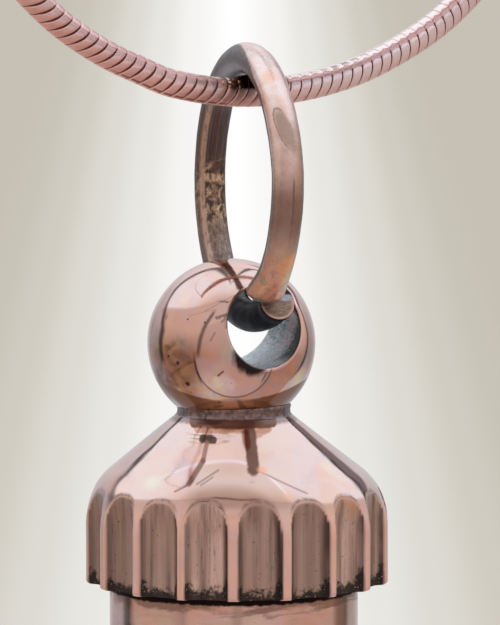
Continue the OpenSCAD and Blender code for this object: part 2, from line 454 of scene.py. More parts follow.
def chain_look(n):
    at = n.place()
    groove = n.mark("groove")
    turns, up, outward = n.split(n.mark("lay", vector=True))
    along = turns * PITCH
    plate = n.math("FRACT", turns)
    round_ = n.angle(outward, up)
    tone = n.noise(at, 1.6, 3, 0.6)
    cloudy = n.step(tone, 0.3, 0.7)
    grain = n.noise(at, 24, 2, 0.6)
    # Painted light: the chain is painted paler and pinker towards the right as seen from the front, where
    # it lies in brighter light.
    side = n.step(along, -3, 4.5)
    colour = n.mix(cloudy, (0.88, 0.5, 0.46), (0.97, 0.6, 0.56))
    colour.over(side, n.mix(cloudy, (1, 0.78, 0.79), (1, 0.85, 0.86)))
    # Each plate gets a painted highlight at its leading edge and painted shade, browner, towards its end.
    worn = n.step(plate, 0.4, 0.95) * n.blend(side, 0.3, 0.16)
    colour.over(worn, n.mix(side, (0.72, 0.4, 0.35), (0.86, 0.55, 0.53)))
    middle = n.step(abs(round_ + 2), 12, 48, 0.14, 0)
    colour.over(middle * n.step(grain, 0.35, 0.6), (0.6, 0.36, 0.32))
    colour.over(n.window(plate, 0.1, 0.17, 0.19, 0.26) * 0.55, (1, 0.82, 0.79))
    # top is the painted highlight along the upper row; it also sets roughness, metal and bumps there.
    top = chain_corner(n, colour, plate, along, round_)
    speckle = n.step(n.noise(at, 34, 1), 0.54, 0.64) * n.blend(side, 0.24, 0.12)
    colour.over(speckle, (0.62, 0.34, 0.31))
    painted_dark = chain_dirt_and_shade(n, colour, at, plate, along, round_)
    colour.over(n.step(groove, 0.15, 0.8), n.mix(side, (0.26, 0.065, 0.05), (0.34, 0.1, 0.085)))
    rough = n.blend(groove, n.blend(top, n.step(tone, 0.3, 0.7, 0.26, 0.36), 0.2), 0.75)
    share = n.blend(painted_dark, n.blend(groove, n.blend(top, 0.62, 0.95), 0.7), 1)
    # Each plate's face is pressed with its upper part leaning back, so it looks up a little.
    lean = n.least(outward, 0.64) * (-PLATE_LEAN * CHAIN_D / 2)
    return colour, rough, n.bumps((grain, n.blend(top, 0.22, 0.04), 0.01), (lean, 1, 1)), share


def ring_rear(n, at, round_, turn, lay_at, dash):
    """The rear limb: nearly black above, flecked with bare metal half-way, brown and streaked below."""
    mottle = n.noise(at, 3, 4, 0.66, 0.9)
    streak = n.noise(n.vec("MULTIPLY", lay_at, (0.045, 0.09, 1)), 1, 3, 0.6)
    colour = n.ramp(streak, [(0.35, 0.085, 0.062, 0.064), (0.65, 0.185, 0.135, 0.13)])
    colour.over(n.step(round_, 256, 266), n.ramp(n.blend(0.25, mottle, dash), [
        (0.43, 0.085, 0.062, 0.056), (0.49, 0.2, 0.145, 0.12), (0.54, 0.5, 0.36, 0.25),
        (0.6, 0.84, 0.63, 0.44)]))
    colour.over(n.step(round_, 284, 296), n.ramp(n.blend(0.5, mottle, dash), [
        (0.32, 0.11, 0.08, 0.07), (0.46, 0.25, 0.18, 0.15), (0.56, 0.42, 0.31, 0.26),
        (0.68, 0.66, 0.5, 0.42)]))
    bare = n.window(turn, -148, -139, -125, -112) * n.step(dash, 0.34, 0.52, 0.35, 0.9)
    colour.over(bare, (0.66, 0.47, 0.38))
    # Painted shade along the sides of the wire: darker on its left, near black on its right.
    colour.over(n.window(turn, -128, -114, -66, -50) * 0.6, (0.24, 0.17, 0.145))
    colour.over(n.window(turn, 60, 80, 118, 128) * 0.55, (0.05, 0.04, 0.045))
    return colour


def ring_top(n, turn, fine):
    """The grey top of the ring, with a painted light reflection along its lower left side and painted shade
    underneath.
    """
    colour = n.ramp(fine, [(0.3, 0.21, 0.175, 0.175), (0.7, 0.31, 0.27, 0.27)])
    colour.over(n.step(turn, -92, -116), (0.36, 0.35, 0.37))
    colour.over(n.step(abs(turn), 128, 158) * 0.7, (0.14, 0.12, 0.125))
    return colour


def ring_front(n, round_, turn, inward, blotch, dash):
    """The rubbed front limb, with painted light and shade: a painted highlight high up, pale on the left,
    painted shade on its right side and along both edges, and darker lower down.
    """
    colour = n.ramp(blotch, [(0.32, 0.7, 0.5, 0.45), (0.48, 0.86, 0.66, 0.61), (0.62, 0.95, 0.76, 0.72)])
    # Painted highlight high on the limb.
    high = n.step(round_, 106, 126)
    colour.over(high * 0.9, n.mix(n.step(blotch, 0.4, 0.6), (1, 0.7, 0.64), (1, 0.78, 0.71)))
    colour.over(n.step(round_, 112, 82, 0, 0.62), (0.42, 0.275, 0.23))
    colour.over(n.step(abs(round_ - 83), 3, 17, 0.6, 0), (0.24, 0.145, 0.12))
    # Painted shade on the right side and along both edges of the wire, the right side's stronger lower
    # down.
    dull = n.step(round_, 108, 132, 1, 0.45)
    colour.over(n.step(turn, -6, 52, 0, 0.62) * dull, (0.4, 0.27, 0.22))
    colour.over(n.step(turn, -84, -112, 0, 0.75), (0.2, 0.13, 0.12))
    colour.over(n.step(turn, 56, 78, 0, 0.6) * dull, (0.16, 0.11, 0.11))
    brink = n.step(abs(inward), 11, 2) * n.window(round_, 126, 140, 180, 188)
    colour.over(brink * 0.8, (0.2, 0.12, 0.09))
    scratch = n.step(abs(turn - 4), 6, 1.5) * n.window(round_, 68, 74, 94, 100)
    colour.over(scratch * n.step(dash, 0.4, 0.52, 0.1, 0.65), (0.2, 0.13, 0.1))
    return colour


def ring_scar(n, colour, round_, turn, fine):
    """An oval scar high on the front, with a dark outline on its left."""
    oval = n.vec("SUBTRACT", n.join(round_ + turn * 0.14, turn), (115.5, -11, 0))
    oval = n.length(oval, (1 / 7.8, 1 / 36, 1)) + (fine - 0.5) * 0.35
    colour.over(n.step(oval, 1.05, 0.7, 0, 0.75), (0.46, 0.34, 0.28))
    colour.over(n.near(oval, 0.98, 0.02, 0.14) * n.step(turn, -2, -20, 0.1, 0.6), (0.24, 0.16, 0.14))


def ring_burn(n, colour, at, round_):
    """Low on the front limb the heat of soldering has left burnt colours, and some higher up."""
    colour.over(n.step(round_, 76, 52) * 0.88, n.ramp(n.noise(at, 2.1, 3, 0.6, 0.3), [
        (0.28, 0.52, 0.3, 0.25), (0.38, 0.78, 0.5, 0.46), (0.46, 1, 0.54, 0.32), (0.53, 0.66, 0.42, 0.34),
        (0.6, 0.5, 0.52, 0.44), (0.67, 0.8, 0.68, 0.42), (0.76, 0.8, 0.54, 0.58)]))
    spots(n, colour, at, (
        ((0.05, -3.72, -2.06), 0.36, 0.90, (1, 0.50, 0.24)),
        ((0.10, -3.30, -2.45), 0.26, 0.70, (0.80, 0.80, 0.36)),
        ((-0.28, -2.74, 3.65), 0.24, 0.75, (1, 0.58, 0.40)),
        ((-0.40, -1.60, 4.22), 0.12, 0.50, (1, 0.60, 0.40))), RING_C)


def ring_look(n):
    at = n.place()
    lay_at = n.mark("lay", vector=True)
    # Degrees along the ring from its lowest point, and around the wire from its outside.
    round_, turn = n.split(lay_at)[:2]
    blotch = n.noise(at, 2.3, 4, 0.62, 0.4)
    fine = n.noise(at, 9, 3, 0.6)
    dash = n.noise(n.vec("MULTIPLY", lay_at, (0.2, 0.085, 1)), 1, 3, 0.62)
    # The outside of the front limb is rubbed pale; the inside and the rear limb keep their dark finish.
    ragged = (fine - 0.5) * 20
    inward = turn + ragged * 0.4 - n.most(-45 - (175 - round_) * 1.67, -88)
    rubbed = n.step(round_, 196, 180) * n.step(inward, -5, 5) * n.step(turn + ragged, 96, 66)
    top_face = n.window(round_, 140, 165, 222, 236)
    colour = ring_rear(n, at, round_, turn, lay_at, dash)
    colour.over(top_face, ring_top(n, turn, fine))
    pale = ring_front(n, round_, turn, inward, blotch, dash)
    ring_scar(n, pale, round_, turn, fine)
    ring_burn(n, pale, at, round_)
    colour.over(rubbed, pale)
    # Painted shadow: where the ring runs through the ball's bore it is painted near black.
    inside = n.step(round_, 334, 342)
    colour.over(inside * 0.95, (0.025, 0.022, 0.032))
    rough = n.blend(rubbed, n.step(blotch, 0.3, 0.7, 0.5, 0.36), n.step(fine, 0.3, 0.7, 0.26, 0.34))
    share = n.blend(inside, n.blend(n.most(top_face, rubbed), 0.72, 0.84), 1)
    grain = n.step(round_, 104, 130, 0.3, 0.08)
    return colour, rough, n.bumps((blotch, 0.25, 0.05), (dash, grain, 0.03)), share


def cut_look(n):
    at = n.place()
    fine = n.noise(n.place((5, 5, 12)), 1, 3, 0.6)
    colour = n.ramp(fine, [(0.3, 0.2, 0.135, 0.11), (0.7, 0.52, 0.38, 0.31)])
    # Painted highlight around the rim of the cut face.
    rim_highlight = n.step(n.distance(at, CUT_C), WIRE_R * 0.88, WIRE_R * 0.98)
    colour.over(rim_highlight * 0.8, (0.78, 0.5, 0.42))
    # Its upper part lies in the other end's shadow, but for one facet that catches the light.
    ragged = (fine - 0.5) * 0.1
    upper = n.step(n.split(at)[2] + ragged, CUT_C[2] + 0.07, CUT_C[2] + 0.13)
    colour.over(upper * 0.95, (0.02, 0.018, 0.022))
    facet = n.length(n.vec("SUBTRACT", at, CUT_C + [0.28, 0.1, 0.17]), (0.55, 1, 1.35)) + ragged
    colour.over(n.step(facet, 0.12, 0.19, 0.85, 0), (0.6, 0.64, 0.76))
    return colour, n.step(fine, 0.3, 0.7, 0.4, 0.55), n.bumps((fine, 0.5, 0.04)), 0.7


PITS = [  # place on the ball in millimetres from its centre, and radius
    ((-1.932, -1.513, -1.128), 0.085), ((-2.443, -1.123, -0.257), 0.05), ((-2.24, -1.439, -0.456), 0.07),
    ((-1.52, -2.05, 0.86), 0.035), ((-1.95, -1.62, 0.95), 0.03),
]


def ball_film(n, colour, at, warped, cloud, height, across):
    """A brown film low on the left, partly tarnish and partly painted darker reflection, and the tints of a
    thinner one.
    """
    low = n.step(height + (cloud - 0.5) * 1.2, 0.85, -0.45)
    tan = low * n.step(across, -1.9, -0.5, 0.96, 0.12) * n.step(across, -2.62, -2.3)
    blotch = n.noise(at, 1.9, 4, 0.6, 0.5)
    colour.over(tan, n.ramp(blotch, [(0.38, 0.25, 0.145, 0.1), (0.62, 0.6, 0.4, 0.3)]))
    tarnish(n, colour, at, n.step(height, 0.6, -0.7, 0.16, 0.6), 1.5, 3.1)
    hues = n.spot(warped, (-1.24, -2.06, -1.22), 0.5, 0.8)
    colour.over(hues * 0.85, n.ramp(n.noise(at, 2.6, 2, 0.5, 0.6), [
        (0.4, 1, 0.74, 0.66), (0.47, 1, 0.92, 0.72), (0.53, 1, 0.9, 0.96), (0.62, 0.72, 0.8, 1)]))
    spots(n, colour, warped, (
        ((1.62, -1.78, -1.10), 0.34, 0.5, (0.86, 0.96, 0.60)),
        ((1.98, -1.30, -1.15), 0.26, 0.5, (0.66, 0.74, 1)),
        ((-0.72, -2.55, -0.12), 0.26, 0.5, (0.62, 0.80, 0.80)),
        ((-1.0, -2.35, -0.62), 0.26, 0.5, (1.0, 0.66, 0.52))))


def ball_scuffs_and_reflection(n, colour, at, across):
    """Below the hole a painted reflection of the tent's round front opening: a round, paler patch with a
    fine dark outline low down; then the scuffs, and two near-white strokes for a bright pearly spot.
    """
    flat = n.join(across, n.dot(at, VIEW_UP))
    facing = n.step(n.dot(at, -AHEAD), 0.1, 0.4)
    off = n.distance(flat, (0.083, -0.5, 0))
    lower_half = facing * n.step(n.split(flat)[1], -0.35, -0.75)
    # Painted reflection: the paler disc and its fine dark outline.
    colour.over(n.step(off, 1.26, 1.2) * lower_half * 0.35, (0.96, 0.76, 0.76))
    colour.over(n.near(off, 1.236, 0.012, 0.045) * lower_half * 0.7, (0.2, 0.13, 0.12))
    ragged = (n.noise(at, 9, 2) - 0.5) * 0.1
    strokes(n, colour, flat, facing, ragged, 0.03, (0.6, 0.6), (
        ((-0.46, 0.78), (-0.16, 0.87), 0.050, 0.70, (0.16, 0.09, 0.08)),
        ((-0.30, 0.66), (-0.20, 0.76), 0.040, 0.55, (0.20, 0.12, 0.10)),
        ((-0.85, 0.98), (0.10, 1.50), 0.018, 0.40, (0.36, 0.20, 0.16)),
        ((-1.35, 0.84), (-0.50, 1.05), 0.016, 0.30, (0.40, 0.24, 0.20)),
        ((-0.52, 0.30), (-0.66, 0.06), 0.030, 0.50, (0.26, 0.15, 0.12)),
        ((-1.74, -0.34), (-1.34, -0.58), 0.130, 0.45, (0.16, 0.09, 0.06)),
        ((-2.06, -0.10), (-1.96, -0.20), 0.050, 0.50, (0.16, 0.09, 0.06)),
        # Two near-white strokes low in the disc paint a bright pearly spot.
        ((-0.47, -1.22), (-0.38, -1.32), 0.130, 0.95, (1, 0.96, 0.78)),
        ((-0.22, -1.18), (-0.02, -1.34), 0.150, 0.60, (1, 0.86, 0.92)),
        ((0.86, -0.62), (1.30, -0.36), 0.060, 0.75, (0.62, 0.30, 0.16)),
        ((-0.42, -1.05), (-0.26, -0.92), 0.030, 0.80, (0.07, 0.045, 0.04))))


def bore_wall(n, scratch, sideways, inward, height):
    """The drilled wall: raw grey, with painted light low down and painted shade, black, under its top and
    at its right front edge.
    """
    colour = n.ramp(scratch, [
        (0.34, 0.1, 0.11, 0.125), (0.44, 0.34, 0.37, 0.4), (0.54, 0.62, 0.66, 0.7),
        (0.66, 0.9, 0.94, 0.98)])
    middle = BORE_FRONT[1]
    # Painted light on the lower part of the wall.
    colour.over(n.step(height, middle - 0.35, middle - 1.05, 0, 0.45), (0.94, 0.97, 1))
    # Painted shade: black under the roof and along the right front edge.
    roof = n.step(height, middle + 0.15, middle + 0.75)
    brink = n.step(inward + (scratch - 0.5) * 1.6, -1.1, -1.55) * n.step(sideways, 0.95, 1.35)
    colour.over(n.most(roof, brink) * 0.9, (0.022, 0.02, 0.026))
    return colour


def bore_lip(n, colour, at, warped, bore, lip, front):
    """Black polish smeared along the rubbed lower lip, the lip darkened at its upper left, and a painted
    highlight on its right edge.
    """
    hole = n.vec("SUBTRACT", warped, (BORE_FRONT[0], 0, BORE_FRONT[1]))
    hole_across, _, hole_up = n.split(hole)
    reach = n.length(hole, (1, 0, 1)) - BORE_FRONT[2]
    aside = n.angle(hole_up, hole_across)
    breadth = n.step(abs(aside + 121), 6, 40, 0.4, 0)
    torn = (n.noise(n.vec("MULTIPLY", at, (5, 2, 1.2)), 1, 3, 0.6) - 0.5) * 0.28
    smear = n.step(reach - breadth + torn, 0.08, -0.16) * n.step(breadth, 0.04, 0.14) * front
    colour.over(smear * n.blend(bore, 0.97, 0), (0.022, 0.017, 0.02))
    colour.over(lip * n.step(abs(aside - 165), 60, 20, 0, 0.75), (0.1, 0.07, 0.065))
    # Painted highlight on the lip's right edge.
    bright = n.window(reach, 0.02, 0.1, 0.22, 0.34) * n.near(aside, 15, 40, 62)
    colour.over(bright * front * 0.6, (0.98, 0.7, 0.66))
    return smear


def ball_look(n):
    at = n.place(centre=BALL_C + BALL_OFF)
    shake = n.scale(n.get("TexNoise", 1, {"Vector": at, "Scale": 7}), 0.07)
    warped = n.vec("SUBTRACT", n.vec("ADD", at, shake), (0.035, 0.035, 0.035))
    bore = n.mark("bore")
    cloud = n.noise(at, 0.75, 3, 0.55, 0.5)
    sideways, inward, height = n.split(at)
    across = n.dot(at, SIDE)
    front = n.step(inward, 0, -0.5)
    colour = n.mix(n.step(cloud, 0.4, 0.66, 0, 0.5), ROSE, (0.8, 0.49, 0.4))
    ball_film(n, colour, at, warped, cloud, height, across)
    ball_scuffs_and_reflection(n, colour, at, across)
    # Where the ball meets the neck it is painted brown, darker to the sides: a painted dark reflection,
    # whose upper edge smiles.
    crevice = height - across * across * 0.1 - (cloud - 0.5) * 0.12
    painted_dark = n.step(crevice, -1.63, -1.69, 0, 0.92)
    colour.over(painted_dark, n.mix(n.step(abs(across), 0.1, 1.1), (0.52, 0.33, 0.2), (0.21, 0.088, 0.048)))
    speck = n.step(n.get("TexVoronoi", 0, {"Vector": warped, "Scale": 1.9}), 0.06, 0.03) * 0.5
    pits = n.most(*[n.spot(warped, place, radius, 0.4) for place, radius in PITS], speck)
    colour.over(pits * 0.88, (0.05, 0.032, 0.026))
    scratch = n.noise(n.place((3, 0.9, 3)), 3, 5, 0.7, 1.2)
    colour.over(bore, bore_wall(n, scratch, sideways, inward, height))
    smear = bore_lip(n, colour, at, warped, bore, n.mark("lip"), front)
    rough = n.blend(bore, n.step(cloud, 0.35, 0.7, 0.055, 0.12), 0.5)
    rough = n.blend(n.most(pits, smear), rough, 0.6)
    # Below the hole the ball has been polished flatter than it is round.
    below = n.most(height * (-1 / BALL_R) - FLAT_FROM, 0)
    flatter = below * below * n.step(abs(across), 2.2, 0.7) * front
    normal = n.bumps(
        (n.noise(at, 0.9, 1), 0.1, 0.15), (n.noise(at, 14, 2, 0.6), 0.05, 0.006),
        (scratch, bore * 0.6, 0.06), (pits, -0.8, 0.05), (flatter, 1, FLAT_RISE))
    return colour, rough, normal, n.blend(painted_dark, n.blend(bore, 1, 0.8), 1)


def cone_arc(n, colour, across, height, facing):
    """A painted highlight along a pale arc that rises over the cone's middle, with painted darker, browner
    reflection below it on the front.
    """
    out = across + 0.1
    bow = n.blend(n.step(out, -0.05, 0.05), 0.116, 0.31)
    over = height - (-3.43 - out * out * bow)
    span = n.window(across, -1.7, -1, 1.6, 1.9) * facing
    span = span * n.step(height, SKIRT_TOP + 0.95, SKIRT_TOP + 1.2)
    # Painted reflection: browner below the arc on the front.
    colour.over(n.step(over, 0, -0.12) * span * 0.85, (0.74, 0.5, 0.42))
    colour.over(n.step(over, -0.45, -0.85) * span * 0.8, (0.56, 0.365, 0.3))
    # Painted highlight along the arc.
    arc_mark = n.step(abs(over), 0.07, 0.01) * n.window(across, -2.4, -1.6, 1.6, 1.9)
    colour.over(arc_mark * facing * 0.5, (0.93, 0.78, 0.84))


def cone_stains_and_reflections(n, colour, at, height):
    """Painted reflections, old polish and handling marks on the front of the cone, laid out on its front
    view.

    Places are in millimetres from the ball's centre, across and up.
    """
    across = n.dot(at, SIDE)
    flat = n.join(across, height)
    facing = n.step(n.dot(at, -AHEAD), 0.2, 0.6)
    rag = (n.noise(at, 8, 2) - 0.5) * 0.09
    cone_arc(n, colour, across, height, facing)
    # Smudges drawn sideways where the polish has pooled.
    smudge = n.step(n.noise(n.vec("MULTIPLY", flat, (1.2, 15, 1)), 1, 3, 0.6), 0.48, 0.58)
    smudge = smudge * n.stroke(flat, (-1.3, -2.78), (-0.3, -2.78), 0.17, rag, 0.6)
    colour.over(smudge * facing * 0.6, (0.34, 0.17, 0.13))
    # The broad dark strokes below the neck are a painted reflection of the ball's underside, and the two
    # long dark legs painted reflections of the ring's limbs; the thin lines are handling marks.
    strokes(n, colour, flat, facing, rag, 0.1, (0.45, 0.25), (
        ((-1.15, -2.57), (1.05, -2.57), 0.11, 0.75, (0.62, 0.28, 0.17)),
        ((0.75, -2.70), (1.10, -2.56), 0.12, 0.70, (0.52, 0.23, 0.15)),
        ((-1.28, -2.42), (1.24, -2.42), 0.13, 0.95, (0.15, 0.058, 0.034)),
        ((-0.86, -2.60), (-0.84, -2.78), 0.17, 0.65, (0.40, 0.18, 0.12)),
        ((-0.98, -2.84), (-0.66, -2.86), 0.12, 0.90, (0.060, 0.030, 0.022)),
        ((-0.85, -2.95), (-0.97, -3.45), 0.070, 0.82, (0.32, 0.14, 0.10)),
        ((-0.97, -3.45), (-1.41, -4.09), 0.080, 0.85, (0.24, 0.10, 0.075)),
        ((-1.42, -4.11), (-1.85, -4.33), 0.032, 0.70, (0.34, 0.17, 0.16)),
        ((0.50, -2.60), (0.62, -3.66), 0.19, 0.93, (0.15, 0.065, 0.045)),
        ((-1.16, -4.09), (-0.48, -3.69), 0.032, 0.60, (0.30, 0.16, 0.13)),
        ((-1.04, -4.12), (-0.66, -3.89), 0.028, 0.55, (0.30, 0.16, 0.13)),
        ((0.75, -3.70), (2.30, -4.40), 0.028, 0.60, (0.34, 0.19, 0.16))))
    # Small heat tints.
    spots(n, colour, at, (
        ((-0.20, -3.60, -3.70), 0.13, 0.80, (1, 0.42, 0.24)),
        ((0.38, -4.44, -4.47), 0.14, 0.60, (1, 0.56, 0.36)),
        ((-3.43, -2.29, -4.11), 0.26, 0.35, (0.82, 0.92, 0.62)),
        ((2.16, -2.99, -3.76), 0.20, 0.40, (0.98, 0.66, 0.42))))


def flute_floor(n, at, height, cloud, blot, streak, foot):
    """Flute floors: a dull film with drawn lines, painted shade against the walls, and black with dirt
    below.
    """
    colour = n.ramp(streak, [
        (0.34, 0.32, 0.22, 0.19), (0.43, 0.56, 0.405, 0.355), (0.52, 0.77, 0.57, 0.505),
        (0.64, 0.9, 0.68, 0.61)])
    colour.over(n.step(n.mark("tone"), 0, 1, 0.66, 0, soft=False), (0.26, 0.175, 0.15))
    colour.over(n.step(cloud, 0.4, 0.62, 0, 0.3), (0.52, 0.35, 0.27))
    hair = n.noise(n.place((4.5, 4.5, 0.14)), 1, 2, 0.6)
    colour.over(n.near(hair, 0.55, 0.002, 0.013) * n.step(blot, 0.4, 0.6, 0.1, 0.5), (0.1, 0.07, 0.06))
    # Painted shade on the flute walls, stronger on one side.
    dark = n.mark("wall") * n.step(n.noise(n.place((2, 2, 0.5)), 1, 3), 0.3, 0.58, 0.65, 1)
    colour.over(dark * 0.94, (0.06, 0.038, 0.036))
    colour.over(foot * 0.93, (0.024, 0.02, 0.024))
    colour.over(n.step(n.noise(at, 11, 2), 0.7, 0.74) * 0.8, (0.03, 0.024, 0.024))
    grit = n.step(n.noise(at, 16, 2), 0.66, 0.72) * n.step(height, RIM_Z + 0.9, RIM_Z + 0.3)
    colour.over(grit * 0.8, (0.62, 0.52, 0.26))
    colour.over(n.spot(at, (2.75, -3.55, -4.75), 0.42, 0.8) * 0.7, (0.8, 0.42, 0.22))
    return colour


def cap_lean(n, height, radius):
    """How far faces lean from the mesh: the cone is steeper down to a faint crease, the ridges draw in."""
    past = n.least(n.most(radius - CREASE_R, 0), CREASE_W)
    cone = n.least(n.most(radius, 1.9), CREASE_R) + (past - past * past * (0.5 / CREASE_W))
    drop = n.most(SKIRT_TOP + 0.8 - height, 0)
    return cone * (-CREASE_SLOPE) + drop * drop / (drop + 0.6) * SKIRT_LEAN


def cap_look(n):
    at = n.place(centre=BALL_C)
    flute = n.mark("flute")
    height = n.split(at)[2]
    radius = n.length(at, (1, 1, 0))
    cloud = n.noise(at, 0.7, 3, 0.55, 0.4)
    blot = n.noise(at, 5, 4, 0.65, 0.5)
    streak = n.noise(n.place((3, 3, 0.1)), 1, 3, 0.6)
    colour = n.mix(n.step(cloud, 0.45, 0.7, 0, 0.35), ROSE, (0.82, 0.54, 0.46))
    # Painted light: the skirt gets a paler, brighter copy of the cone's metal, so its upright sides show
    # bright.
    skirt = n.step(height, SKIRT_TOP + 1.15, SKIRT_TOP + 0.6)
    colour.over(skirt, (1, 0.7, 0.62))
    tarnish(n, colour, at, n.step(cloud, 0.42, 0.62, 0.1, 0.34), 0.8, 7.7)
    cone_stains_and_reflections(n, colour, at, height)
    # A dark brown ring round the neck's foot: patina in the corner, and a painted reflection of the ball's
    # dark underside.
    colour.over(n.step(radius + (blot - 0.5) * 0.2, 2.12, 1.98) * 0.75, (0.22, 0.12, 0.1))
    foot = height + (blot - 0.5) - (n.mark("wall") * 0.42 + n.mark("tone") * 0.1)
    foot = n.step(foot, RIM_Z + 0.36, RIM_Z + 0.08)
    colour.over(flute, flute_floor(n, at, height, cloud, blot, streak, foot))
    colour.over(n.mark("arch") * n.step(blot, 0.35, 0.6, 0.2, 0.6), (0.2, 0.12, 0.1))
    neck = n.step(height, NECK_FOOT - 0.03, NECK_FOOT + 0.02)
    colour.over(neck, n.ramp(blot, [(0.35, 0.14, 0.105, 0.11), (0.65, 0.4, 0.3, 0.3)]))
    seat = VESSEL_R + SEAT_GAP
    # Painted shade: the cap's inside, over the vessel, is painted near black.
    inner = n.step(radius, seat + 0.03, seat + 0.01) * n.step(height, SKIRT_TOP - 0.3, SKIRT_TOP - 0.5)
    colour.over(inner, (0.05, 0.035, 0.035))
    rough = n.blend(flute, n.blend(skirt, n.step(cloud, 0.35, 0.7, 0.06, 0.14), 0.3), 0.46)
    rough = n.blend(foot * flute, n.blend(neck, rough, 0.36), 0.62)
    share = n.blend(flute, n.blend(skirt, 1, 0.66), 0.66)
    normal = n.bumps(
        (n.noise(at, 1.1, 1), 0.12, 0.12), (n.noise(at, 14, 2, 0.6), 0.05, 0.006),
        (cap_lean(n, height, radius), 1, 1), (streak, flute * 0.35, 0.05))
    return colour, rough, normal, share


def vessel_look(n):
    at = n.place(centre=BALL_C)
    height = n.split(at)[2]
    across = n.dot(at, SIDE)
    cloud = n.noise(n.place((0.5, 0.5, 1.6)), 1, 4, 0.6, 0.8)
    blot = n.noise(at, 4, 4, 0.65)
    colour = n.mix(n.step(cloud, 0.35, 0.68), (0.92, 0.66, 0.57), (1, 0.78, 0.7))
    tarnish(n, colour, at, n.step(blot, 0.3, 0.6, 0.1, 0.32), 0.6, 1.3)
    # Dark upright lines near both edges, painted reflections of the tent's dark seams, and a faint one near
    # the middle.
    for place, width, strength in ((-3.4, 0.12, 0.72), (3.4, 0.2, 0.72), (0.1, 0.16, 0.3)):
        colour.over(n.near(across, place, width * 0.3, width * 1.6) * strength, (0.18, 0.12, 0.1))
    top = height + (blot - 0.5) * 0.16
    dusk = n.step(top + (cloud - 0.5) * 1.6, RIM_Z - 0.56, RIM_Z - 0.3, 0, 0.75)
    colour.over(dusk, (0.26, 0.145, 0.11))
    # Painted shadow: just under the rim the top is painted black, in the gap under the cap.
    rim_shadow = n.step(top, RIM_Z - 0.29, RIM_Z - 0.22)
    colour.over(rim_shadow * 0.98, (0.012, 0.007, 0.008))
    inside = n.step(n.length(at, (1, 1, 0)), CHAMBER_R + 0.02, CHAMBER_R + 0.005)
    colour.over(inside, (0.24, 0.17, 0.14))
    rough = n.blend(inside, n.blend(rim_shadow, n.step(cloud, 0.3, 0.7, 0.15, 0.24), 0.6), 0.45)
    normal = n.bumps((n.noise(at, 0.8, 2), 0.12, 0.15), (n.noise(at, 14, 2, 0.6), 0.08, 0.008))
    return colour, rough, normal, n.blend(rim_shadow, 0.88, 1)


def clasp_look(n):
    at = n.place()
    tone = n.noise(at, 0.9, 3, 0.6)
    ground = n.noise(n.place((0.4, 3, 3)), 2, 3, 0.6)
    colour = n.mix(n.step(tone, 0.3, 0.7), (0.8, 0.53, 0.48), (0.87, 0.63, 0.58))
    colour.over(n.step(n.mark("groove"), 0.2, 0.9), (0.2, 0.09, 0.07))
    return colour, n.step(tone, 0.3, 0.7, 0.16, 0.26), n.bumps((ground, 0.1, 0.01)), 1


# Chain
ROUTE = np.array([  # right half of the chain's route, from the pendant up to the clasp
    [0, -110, -122], [2, -110, -121.8], [4, -110, -121.2], [6, -110, -120.05], [8, -110, -118.15],
    [11, -110, -114.2], [16, -109.5, -106.4], [24, -107.5, -94], [33, -103, -79], [42, -95, -63],
    [50, -83, -48], [54.5, -69, -36], [57, -53, -25], [55, -36, -15], [47, -20.5, -8],
    [36, -9.8, -4], [24, -3.4, -1.6], [14, -0.6, -0.4], [8, 0, 0], [6, 0, 0], [4, 0, 0]], float)
LOOP = np.concatenate([ROUTE[:0:-1] * [-1, 1, 1], ROUTE])
LEGS = np.diff(LOOP, axis=0)
SPANS = np.linalg.norm(LEGS, axis=1)
DIRS = LEGS / SPANS[:, None]
HEADS = np.concatenate([
    DIRS[:1],
    (DIRS[:-1] * SPANS[1:, None] + DIRS[1:] * SPANS[:-1, None]) / (SPANS[1:] + SPANS[:-1])[:, None],
    DIRS[-1:]])


def route_at(u):
    """Points and directions of the route's cubic curve at u, counted in spans."""
    i = np.clip(np.floor(u).astype(int), 0, len(SPANS) - 1)
    t = (u - i)[:, None]
    a, b, m, n = LOOP[i], LOOP[i + 1], HEADS[i] * SPANS[i, None], HEADS[i + 1] * SPANS[i, None]
    where = (2*t**3 - 3*t**2 + 1)*a + (t**3 - 2*t**2 + t)*m + (3*t**2 - 2*t**3)*b + (t**3 - t**2)*n
    speed = (6*t**2 - 6*t)*a + (3*t**2 - 4*t + 1)*m + (6*t - 6*t**2)*b + (3*t**2 - 2*t)*n
    return where, unit(speed)


FINE_U = np.linspace(0, len(SPANS), 8001)
FINE_P = route_at(FINE_U)[0]
FINE_S = np.concatenate([[0], np.cumsum(np.linalg.norm(np.diff(FINE_P, axis=0), axis=1))])
FINE_S -= FINE_S[len(FINE_S) // 2]  # 0 at the pendant
NAPE = np.array([0.0, -55.0, 0.0])
PITCH = 0.36
LEAN, LEAN_TURN = 0.62, math.radians(35)  # in pitches: how far the plates lean, and where around the chain


def sag(x):
    """How far below its route the worn chain hangs, along x."""
    near = 0.11 * smooth_step(x, -3.9, -2.6)
    far = 0.14 * smooth_step(x, 4.5, 7.8)
    return -(near + far) * smooth_step(x, 30.0, 9.0)


